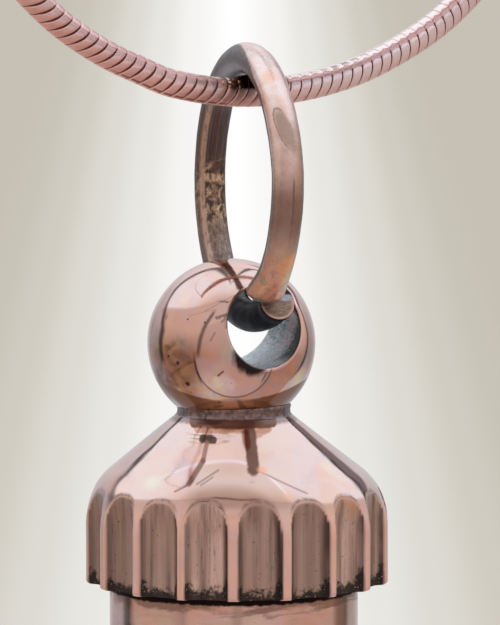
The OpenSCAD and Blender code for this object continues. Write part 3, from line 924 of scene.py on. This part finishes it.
def chain_surface(plates, rows, cols, near):
    """Points of the chain's leaning plates. rows are (share of a plate, drop of the surface, groove)."""
    share, drop, groove = np.tile(np.array(rows, float).T, len(plates))[..., None]
    base = np.repeat(plates, len(rows))[:, None]
    phi = np.tile(around(cols), (len(base), 1))
    degrees = signed(phi)
    # The gaps between plates gape in the middle of the face, more so on the wearer's right.
    gape = np.exp(-((degrees + 6) / 36) ** 2)
    left = smooth_step(base * PITCH, 0.5, -5.0)
    wide = 0.65 + (0.35 + 0.85 * left) * gape if near else 1
    offset = np.where(share < 0.5, share, share - 1)
    moved = np.where(np.abs(offset) < 0.15, offset * wide, offset)
    s0 = base + moved + (share >= 0.5) + 0 * phi
    s = PITCH * (s0 + LEAN * np.sin(phi + LEAN_TURN))
    where, along = route_at(np.interp(s, FINE_S, FINE_U).ravel())
    where[:, 2] += sag(where[:, 0])
    side = unit(np.cross(along, (where - NAPE) * [1, 1, 0]))
    over = np.cross(side, along)
    # Full grooves on the front and back faces, shallow ones above and below.
    corner = np.clip(41 - 4.6 * s0 * PITCH, 27, 45)
    front = smooth_step(degrees, -100, -78) * smooth_step(degrees - corner, 5, -2)
    full = np.maximum(front, smooth_step(np.abs(degrees), 120, 140))
    r = 0.45 + 0.008 * np.cos(4 * (phi - 0.3)) - drop * (0.3 + 0.7 * full)
    # Old polish has built up between the chain and the ring.
    r += 0.135 * np.exp(-(s / 0.55) ** 2) * smooth_step(degrees, 50, 75) * smooth_step(degrees, 130, 105)
    lay = np.stack([s0, np.cos(phi), np.sin(phi)], -1).reshape(-1, 3)
    points = where + r.reshape(-1, 1) * (lay[:, 1:2] * over - lay[:, 2:] * side)
    return points, {"lay": lay, "groove": (groove * (0.12 + 0.88 * full)).ravel()}


def build_chain():
    look = metal("chain_metal", chain_look)
    near_rows = [
        (0.0, 0.05, 1), (0.035, 0.046, 1), (0.06, 0.018, 0.5), (0.1, 0.003, 0), (0.3, 0, 0),
        (0.5, 0, 0), (0.74, 0.001, 0), (0.87, 0.004, 0), (0.94, 0.012, 0.1), (0.968, 0.028, 0.7)]
    far_rows = [(0.0, 0.06, 1), (0.08, 0.006, 0.05), (0.5, 0, 0), (0.93, 0.008, 0.05)]
    near = 36
    end = int((FINE_S[-1] - 0.15) / PITCH) - 1
    for name, first, last, rows, cols in (
            ("chain_front", -near, near, near_rows, 112),
            ("chain_left", -end, -near, far_rows, 24),
            ("chain_right", near, end, far_rows, 24)):
        points, marks = chain_surface(np.arange(first, last), rows, cols, rows is near_rows)
        piece(name, capped(points, cols), "necklace", "chain", look, marks)


# Jump ring
def build_ring():
    cols, rows = 56, 440
    seam = math.radians(SEAM_ANGLE)
    upper_end, lower_end = seam + math.radians(6.7), TAU + seam - SEAM_W / 2 / RING_R
    beta = np.linspace(upper_end, lower_end, rows)
    # The two cut ends have sprung past each other: the front one up, in and to the left,
    # the lower one to the right.
    upper = smooth_step(beta, math.radians(105), upper_end)
    tip = smooth_step(beta, math.radians(66), upper_end)
    lower = smooth_step(beta, TAU - math.radians(12), lower_end)
    zero = np.zeros(rows)
    out = np.stack([zero, -np.sin(beta), -np.cos(beta)], -1)
    along = np.stack([zero, -np.cos(beta), np.sin(beta)], -1)
    moved = np.stack([0.31 * lower - 0.065 - 0.09 * upper - 0.05 * tip, 0.25 * upper, 0.02 * upper], -1)
    slant = 0.5 * smooth_step(beta, upper_end + math.radians(16), upper_end)
    b, t = np.meshgrid(beta, around(cols), indexing="ij")
    r = WIRE_R * (0.992 + wobble(b, t, 0, [
        (0.004, 7, 1, 0, 0.4), (0.004, 11, 2, 0, 1.9), (0.003, 23, -1, 0, 0.7), (0.002, 41, 3, 0, 2.2)]))
    flare = np.where(np.sin(t) < 0, 0.34, 0.11) * np.sin(t) ** 2
    r *= 1 + flare * smooth_step(b, upper_end + 0.3, upper_end)
    r *= 1 + 0.12 * smooth_step(b, lower_end - 0.12, lower_end)
    r[:4] *= np.array([0.88, 0.95, 0.985, 1])[:, None]
    r[-3:] *= np.array([1, 0.995, 0.975])[:, None]
    outward = (r * np.cos(t))[..., None]
    points = (RING_C + RING_R * out + moved)[:, None] + outward * (out + slant[:, None] * along)[:, None]
    points[..., 0] += r * np.sin(t)
    lay = np.stack([np.degrees(b), signed(t), 0 * t], -1).reshape(-1, 3)
    ring = piece("jump_ring_wire", capped(points.reshape(-1, 3), cols), "ring", "jump_ring",
                 metal("ring_metal", ring_look), {"lay": lay})
    # The cut faces are flat, with a finish of their own.
    ring.data.materials.append(metal("cut_metal", cut_look))
    is_cut = np.arange(len(ring.data.polygons)) >= len(ring.data.polygons) - 2 * cols
    ring.data.polygons.foreach_set("material_index", is_cut.astype(np.int32))
    ring.data.polygons.foreach_set("use_smooth", ~is_cut)


# Ball
def build_ball():
    cols = 336
    a = around(cols)
    rim = np.stack([np.cos(a), 0 * a, np.sin(a)], -1)

    def towards(angle, start, end):
        """1 on the side of the bore at the angle in degrees, falling to 0; start and end are cosines."""
        return smooth_step(np.cos(a - math.radians(angle)), start, end)

    def half(side, hole_x, hole_z, hole_r, lip):
        """Rows from the bore's wall over the lip to the widest circle, on the side -1 (front) or 1."""
        reach = (hole_r + lip)[:, None] * rim + [hole_x, 0, hole_z]
        depth = np.sqrt((BALL_R - lip) ** 2 - (reach**2).sum(-1))
        centre = reach + (side * depth)[:, None] * [0, 1, 0]
        outward = unit(centre)
        rows = [centre + lip[:, None] * slerp(-rim, outward, t) for t in np.linspace(0, 1, 9)]
        equator = unit(outward * [1, 0, 1])
        rows += [BALL_R * slerp(outward, equator, t) for t in np.linspace(0, 1, 48)[1:]]
        return np.array(rows)

    worn = 0.075 + 0.03 * np.cos(a + 2.2) + 0.012 * np.sin(3 * a)
    # Worn wider where the ring's end passes as the urn swings, and left narrower beside the ring behind.
    front = half(-1, *BORE_FRONT[:2], BORE_FRONT[2] + 0.19 * towards(57, 0.84, 1.0), worn)
    back = half(1, *BORE_BACK[:2], BORE_BACK[2] - 0.45 * towards(36, 0.88, 1.0), worn + 0.04)
    hollow = 0.13 * towards(32, 0.7, 0.95)[:, None] * rim
    # The bore was drilled from both sides, and a ridge is left in its roof where the two meet.
    ridge = 0.58 * towards(74, 0.9, 0.985)[:, None] * rim
    t = np.linspace(1, 0, 40)[1:-1, None, None]
    wall = front[0] * (1 - t) + back[0] * t + hollow * np.sin(math.pi * t)
    wall = wall - ridge * np.exp(-((t - 0.5) / 0.13) ** 2)
    rows = np.concatenate([front, back[-2::-1], wall])
    n, inner_end = len(rows), len(front) + len(back) - 1
    index = np.arange(n)[:, None]
    x, y, z = rows[..., 0], rows[..., 1], rows[..., 2]
    soft = wobble(x, y, z, [
        (0.0035, 1.9, 1.1, 0.7, 0.3), (0.003, -1.2, 2.3, 1.6, 1.1), (0.002, 3.1, -2.2, 2.7, 2.0)])
    rough = wobble(x, y, z, [(0.006, 9, 3, 7, 0.3), (0.005, -7, 5, 11, 1.0), (0.004, 17, -7, 13, 2.0)])
    rows = rows * (1 + (soft * ((index >= 9) & (index < inner_end - 9)) / BALL_R)[..., None])
    radial = unit((rows - [BORE_FRONT[0], 0, BORE_FRONT[1]]) * [1, 0, 1])
    rows = rows + radial * (np.abs(rough) * (index >= inner_end))[..., None]
    bore = np.zeros(n)
    bore[inner_end:] = 1
    bore[:5] = [1, 1, 0.9, 0.6, 0.25]
    bore[inner_end - 5:inner_end] = bore[4::-1]
    lip = np.zeros(n)
    lip[3:9] = [0.4, 0.8, 0.8, 0.5, 0.25, 0.1]
    shape = (rows.reshape(-1, 3) + BALL_C + BALL_OFF, grid(n, cols, close_rows=True), np.zeros((0, 3), int))
    piece("ball_bail", shape, "cap", "urn_cap", metal("ball_metal", ball_look),
          {"bore": np.repeat(bore, cols), "lip": np.repeat(lip, cols)})


# Cap
def trace(start, *parts):
    """An outline from start by lines, each its end and a count of points, and by arcs,
    each its centre, radius, two angles in degrees from the horizontal, and a count."""
    outline = [start]
    for *shape, count in parts:
        begin = np.array(outline[-1])
        for t in np.linspace(0, 1, count + 1)[1:]:
            if len(shape) == 1:
                outline.append(tuple(begin * (1 - t) + np.array(shape[0]) * t))
            else:
                (x, z), radius, first, last = shape
                angle = math.radians(first + (last - first) * t)
                outline.append((x + radius * math.cos(angle), z + radius * math.sin(angle)))
    return outline


def build_cap():
    cols = FLUTES * 30
    tangent = (CAP_R - TANGENT * math.cos(SLOPE), CORNER_Z + TANGENT * math.sin(SLOPE))
    outside = trace(
        (0.6, -1.2), ((1.3, -1.35), 1), ((1.62, -1.65), 1), ((1.79, NECK_TOP + 0.06), 1),
        ((1.845, NECK_TOP - 0.04), 2), ((1.815, NECK_FOOT + 0.16), 3), ((1.83, NECK_FOOT + 0.05), 3),
        ((1.875, NECK_FOOT - 0.004), 2), ((1.95, NECK_FOOT - 0.09 * math.tan(SLOPE)), 2), (tangent, 34),
        ((CAP_R - SHOULDER, SKIRT_TOP), SHOULDER, 90 - math.degrees(SLOPE), 0, 58),
        ((CAP_R, RIM_Z + RIM), 22), ((CAP_R - RIM, RIM_Z + RIM), RIM, 0, -90, 5))
    seat, bore = VESSEL_R + SEAT_GAP, THROAT_R + THREAD_GAP
    ledge, roof = SEAT_Z + TOP_GAP, THROAT_TOP + TOP_GAP
    inside = [
        (4.62, RIM_Z), (4.3, RIM_Z), (seat + 0.03, RIM_Z), (seat, RIM_Z + 0.03), (seat, RIM_Z + 0.4),
        (seat, ledge - 0.02), (seat - 0.02, ledge), (bore + 0.03, ledge), (bore, ledge + 0.03),
        (bore, THROAT_TOP - 0.9), (bore, roof - 0.02), (bore - 0.02, roof), (2.0, roof)]
    outline = np.array(outside + inside)
    outer = len(outside)
    is_outer = np.arange(len(outline))[:, None] < outer
    r, z, th = np.broadcast_arrays(outline[:, :1], outline[:, 1:], around(cols))
    index = np.round((th - FLUTE_TURN) / (TAU / FLUTES))
    depth = FLUTE_DEPTH * (1 + 0.04 * np.sin(2.7 * index))
    off = th - FLUTE_TURN - index * TAU / FLUTES - 0.006 * np.sin(1.9 * index + 0.6)
    half = FLUTE_W / 2
    x = np.abs(np.sin(off)) * np.maximum(r, 4.0)
    floor_r = CAP_R - depth + 0.06 * smooth_step(z, SKIRT_TOP + 0.1, SKIRT_TOP + 1.2)
    # Flat floors with steep walls low down, rounder where each flute runs out on the shoulder.
    power = 5 - 2.1 * smooth_step(z, SKIRT_TOP + 0.15, SKIRT_TOP + 0.95)
    trough = floor_r + (CAP_R - floor_r) * (x / half) ** power
    cut = np.where(x < half, trough, CAP_R + 5 * depth / half * (x - half))
    fluted = (z < NECK_FOOT - 0.5) & is_outer
    made = np.where(fluted, smooth_min(r, cut, 0.08), r)
    for row in range(outer, outer + 2):
        share = (outline[row, 0] - seat) / (outline[outer - 1, 0] - seat)
        made[row] = seat + (made[outer - 1] - seat) * share
    cleft = smooth_step(r - cut, -0.015, 0.03) * fluted
    arch = smooth_step(r - cut, -0.12, -0.07) * smooth_step(r - cut, 0.0, -0.05) * fluted
    marks = {
        "flute": cleft,
        "wall": cleft * smooth_step(x / half, 0.66, 0.9) * np.where(off > 0, 1.0, 0.55),
        "arch": arch * smooth_step(z, SKIRT_TOP + 0.75, SKIRT_TOP + 1.1),
        "tone": 0.5 + 0.5 * np.sin(1.9 * (index - FLUTES * (index > FLUTES / 2)) + 12.97)}
    made = made + is_outer * wobble(made * np.cos(th), made * np.sin(th), z, [
        (0.003, 1.3, 0.9, 1.2, 0.2), (0.0025, -1.7, 2.1, 0.5, 1.4), (0.002, 2.9, -1.3, 2.2, 2.6)])
    points = spin(made, z, th) + BALL_C
    points += (smooth_step(-z, -NECK_FOOT, -SKIRT_TOP) * is_outer)[..., None] * SKIRT_OFF
    tips = BALL_C + [[0, 0, -1.1], [0, 0, roof]]
    piece("fluted_cap", capped(points.reshape(-1, 3), cols, tips), "cap", "urn_cap",
          metal("cap_metal", cap_look), {name: mark.ravel() for name, mark in marks.items()})


# Vessel
def build_vessel():
    cols = 288
    pitch = 0.5
    bevel = 0.08
    neck_r = THROAT_R - 0.1
    floor_z = FOOT_Z + FLOOR_T
    body = trace(
        (0.5, FOOT_Z), ((VESSEL_R - FOOT_ROUND, FOOT_Z), 6),
        ((VESSEL_R - FOOT_ROUND, FOOT_Z + FOOT_ROUND), FOOT_ROUND, -90, 0, 18),
        ((VESSEL_R, SEAT_Z - bevel), 56), ((VESSEL_R - bevel, SEAT_Z - bevel), bevel, 0, 90, 4),
        ((neck_r, SEAT_Z), 3))[1:]
    neck = trace(body[-1], ((neck_r, THROAT_TOP - 0.05), 56))[1:]
    chamber = trace(
        neck[-1], ((neck_r - 0.06, THROAT_TOP), 2), ((CHAMBER_R + 0.04, THROAT_TOP), 2),
        ((CHAMBER_R, THROAT_TOP - 0.04), 1), ((CHAMBER_R, floor_z + 0.3), 20),
        ((CHAMBER_R - 0.3, floor_z + 0.3), 0.3, 0, -90, 4), ((0.5, floor_z), 4))[1:]
    outline = np.array(body + neck + chamber)
    th = around(cols)
    r, z = np.repeat(outline[:, :1], cols, 1), outline[:, 1:]
    threaded = slice(len(body), len(body) + len(neck))
    up = z[threaded]
    turns = (up - SEAT_Z) / pitch + th / TAU
    fade = smooth_step(up, SEAT_Z + 0.12, SEAT_Z + 0.3)
    fade = fade * smooth_step(up, THROAT_TOP - 0.1, THROAT_TOP - 0.3)
    r[threaded] += 0.1 * fade * smooth_step(np.abs((turns % 1) * 2 - 1), 0.25, 0.7)
    points = spin(r, z, th).reshape(-1, 3) + BALL_C
    tips = BALL_C + [[0, 0, FOOT_Z], [0, 0, floor_z]]
    piece("ash_vessel", capped(points, cols, tips), "vessel", "urn_vessel",
          metal("vessel_metal", vessel_look), {})


# Clasp
def build_clasp():
    cols = 96
    r, h = CLASP_R, CLASP_HALF
    hole = CHAIN_D / 2 + SOCKET_GAP
    floor = CHAIN_END - SOCKET_GAP
    grooves = [
        ((r - drop, place + up), 1) for place in (h - 1.2, h - 1.6)
        for drop, up in ((0, 0.12), (0.05, 0.07), (0.07, 0), (0.05, -0.07), (0, -0.12))]
    half = trace(
        (hole * 0.5, floor), ((hole, floor), 1), ((hole, h - 0.06), 1), ((hole + 0.06, h), 1),
        ((r - 0.5, h), 3), ((r - 0.5, h - 0.5), 0.5, 90, 0, 10), ((r, h - 1.1), 2), *grooves, ((r, 0.0), 8))
    dark = [0] * (len(half) - 18) + [0, 0.7, 1, 0.7, 0] * 2 + [0] * 8
    outline = np.array(half + [(a, -b) for a, b in half[-2::-1]])
    dark = np.array(dark + dark[-2::-1], float)
    points = spin(outline[:, :1], outline[:, 1:], around(cols))[..., [2, 0, 1]].reshape(-1, 3)
    piece("barrel_clasp", capped(points, cols, [[floor, 0, 0], [-floor, 0, 0]]), "necklace", "clasp",
          metal("clasp_metal", clasp_look), {"groove": np.repeat(dark, cols)})


# Camera, floor and light
def build_camera():
    data = bpy.data.cameras.new("camera")
    data.lens, data.sensor_width = LENS, 36.0
    data.clip_start, data.clip_end = 0.01, 60.0
    cam = bpy.data.objects.new("camera", data)
    bpy.context.scene.collection.objects.link(cam)
    back = -math.cos(VIEW_DOWN) * AHEAD + [0, 0, math.sin(VIEW_DOWN)]
    cam.location = Vector((BALL_C + back * VIEW_FAR) * MM)
    cam.rotation_euler = (math.pi / 2 - AIM_DOWN, 0, -AIM_AZ)
    bpy.context.scene.camera = cam
    return cam


FLOOR_Z = -0.3  # metres, as are the other sizes of the floor
FLOOR_R, SWEEP_R, WALL_H = 6.6, 1.2, 3.0
BAND_HALF, BAND_SPREAD = 0.034, 0.0139


def floor_paper(foot):
    """Pale paper that glows with painted tones, with a soft white band of painted light that runs straight
    away from the camera's foot.
    """
    material = bpy.data.materials.new("floor_paper")
    material.use_nodes = True
    n = Nodes(material.node_tree)
    offset = n.vec("SUBTRACT", n.get("TexCoord", "Object", {}), foot)
    far = n.dot(offset, AHEAD)
    width = abs(far) * BAND_SPREAD + BAND_HALF
    share = abs(n.dot(offset, SIDE)) / width + n.step(far, 0, -0.4, 0, 2)
    tone = n.ramp(share / 2, [
        (0, 1, 1, 1), (0.2, 0.913, 0.905, 0.888), (0.35, 0.807, 0.799, 0.761),
        (0.5, 0.723, 0.701, 0.651), (0.65, 0.631, 0.604, 0.533), (0.78, 0.584, 0.552, 0.48),
        (0.9, 0.565, 0.527, 0.462)], "EASE")
    n.add("OutputMaterial", {0: n.get("Emission", 0, {"Color": tone, "Strength": 1})})
    return material


def build_floor(cam):
    """A round pale floor that sweeps up into a far wall."""
    outline = [(x, 0.0) for x in (0.02, 0.5, 1.5, 3.0, 5.0, FLOOR_R)]
    outline += [(FLOOR_R + SWEEP_R * math.sin(t), SWEEP_R * (1 - math.cos(t)))
                for t in np.linspace(0.1, math.pi / 2, 12)]
    outline += [(FLOOR_R + SWEEP_R, WALL_H)]
    cols = 128
    r, z = np.array(outline).T[:, :, None]
    points = np.concatenate([spin(r, z + FLOOR_Z, around(cols)).reshape(-1, 3), [[0, 0, FLOOR_Z]]])
    tris = fan(np.arange(cols), len(points) - 1, True)
    material = floor_paper((cam.location[0], cam.location[1], 0))
    floor = make_object("studio_floor", (points, grid(len(outline), cols), tris), material, 1.0)
    floor.visible_glossy = False
    floor.visible_diffuse = False


def tent_walls(n, rise, wide, away):
    """A bright cool top that ends in a soft seam, higher towards the front, over warmer walls."""
    over = rise - n.least((wide - 70) * 0.44 + 27, TENT_TOP)
    colour = n.ramp(n.step(rise, -60, 45, soft=False), [
        (0, 0.54, 0.44, 0.37), (0.143, 0.5, 0.41, 0.34), (0.286, 0.42, 0.32, 0.27),
        (0.457, 0.46, 0.35, 0.29), (0.571, 0.58, 0.46, 0.39), (0.705, 0.66, 0.57, 0.51),
        (0.857, 0.68, 0.62, 0.6)])
    colour.over(n.step(over, -3, 3), n.ramp(away * 0.5 + 0.5, [
        (0.15, 0.66, 0.55, 0.5), (0.29, 0.72, 0.64, 0.62), (0.35, 0.82, 0.79, 0.8), (0.4, 0.92, 0.95, 0.98),
        (0.475, 0.98, 1.1, 1.2), (0.6, 1, 1.16, 1.28)]))
    colour.over(n.near(over, 0, 0, 2.6) * n.step(wide, 140, 160, 0.2, 0.8), (0.1, 0.06, 0.05))
    return colour


def tent_front(n, colour, rise, turn):
    """The round opening in front with the rim below it, the broad dark edge that runs up from it
    on the left, and the table's far edge."""
    dip = math.radians(-16)
    up, round_ = rise / DEGREE, turn / DEGREE
    level = n.math("COSINE", up)
    aim = n.join(level * n.math("SINE", round_), level * n.math("COSINE", round_), n.math("SINE", up))
    far = n.math("ARCCOSINE", n.dot(aim, (0, -math.cos(dip), math.sin(dip)))) * DEGREE
    colour.over(n.step(far, 54, 50) * 0.6, (0.56, 0.44, 0.41))
    colour.over(n.near(far, 53, 0.5, 2.4) * n.window(rise, -44, -36, -16, -4) * 0.72, (0.06, 0.04, 0.03))
    path = turn + rise * 0.333 + 135
    colour.over(n.near(path, 0, 0.8, 4.6) * n.window(rise, -20, -8, 42, 50) * 0.8, (0.07, 0.055, 0.035))
    table = rise + (turn + 126) * 0.235 + 20
    colour.over(n.near(table, 0, 0.3, 2.6) * n.window(turn, -128, -122, -84, -66) * 0.45, (0.1, 0.07, 0.05))


def shrinking(n, rise, half_width, *stages):
    """A half width that shrinks as rise grows; a stage is its lower and upper rise and its loss."""
    for start, end, loss in stages:
        half_width = half_width - n.step(rise, start, end, 0, loss, soft=False)
    return half_width


def tent_backdrop(n, colour, rise, turn):
    """The backdrop behind, narrower higher up. Its dark border is broad on the right at mid height."""
    wide = abs(turn)
    left = n.step(turn, 1, -1)
    left_half = shrinking(n, rise, 67, (9, 24, 20), (19, 33, 17), (33, 48, 18))
    right_half = shrinking(n, rise, 70, (-38, -5, 18), (-5, 20, 7), (20, 31, 15), (31, 45, 15))
    past = wide - n.blend(left, right_half, left_half)
    back = n.ramp(n.step(rise, -40, 40, soft=False), [
        (0, 0.64, 0.64, 0.67), (0.2, 0.56, 0.56, 0.59), (0.375, 0.37, 0.38, 0.4), (0.56, 0.45, 0.47, 0.5),
        (0.75, 0.66, 0.69, 0.74), (1, 0.98, 1.03, 1.1)])
    back.over(1, n.mix(n.step(wide, 8, 40), (1.3, 1.3, 1.3), (1, 1, 1)), "MULTIPLY")
    back.over(n.step(wide, 34, 6, 0, 0.55), (0.72, 0.74, 0.78))
    colour.over(n.step(past, 1, -1), back)
    fade = n.step(rise, -42, -14) * n.blend(left, 1, n.step(rise, -22, -9))
    border = n.near(past, 0, n.blend(left, 0.8, 1.6), n.blend(left, 4.5, 9)) * fade
    broad = n.window(rise, 15, 18, 30, 34) * n.step(turn, 4, 10) * n.window(past, -26, -18, 3, 6)
    colour.over(broad * 0.85, (0.14, 0.12, 0.15))
    shelf = n.near(rise, 17.3, 0.8, 2.6) * n.near(wide, 57, 10, 12) * left
    colour.over(n.most(border, shelf * 0.5) * 0.88, (0.04, 0.035, 0.045))


def build_world():
    """A light tent. Angles in degrees: rise above the horizon, turn from straight away, left below 0."""
    world = bpy.data.worlds.new("studio_tent")
    bpy.context.scene.world = world
    world.use_nodes = True
    n = Nodes(world.node_tree)
    direction = n.get("TexCoord", "Generated", {})
    rise = n.math("ARCSINE", n.split(direction)[2]) * DEGREE
    # Low down, what the ball's flattened front shows is stretched out.
    below = n.most(-22 - rise, 0)
    rise = rise - below * below * 1.2 / (below + 8)
    away = n.dot(direction, AHEAD)
    turn = n.angle(n.dot(direction, SIDE), away)
    colour = tent_walls(n, rise, abs(turn), away)
    tent_front(n, colour, rise, turn)
    tent_backdrop(n, colour, rise, turn)
    n.add("OutputWorld", {0: n.get("Background", 0, {"Color": colour, "Strength": 1})})


scene = bpy.context.scene
scene.view_settings.view_transform = "Standard"
camera = build_camera()
build_floor(camera)
build_world()
build_chain()
build_ring()
build_ball()
build_cap()
build_vessel()
build_clasp()
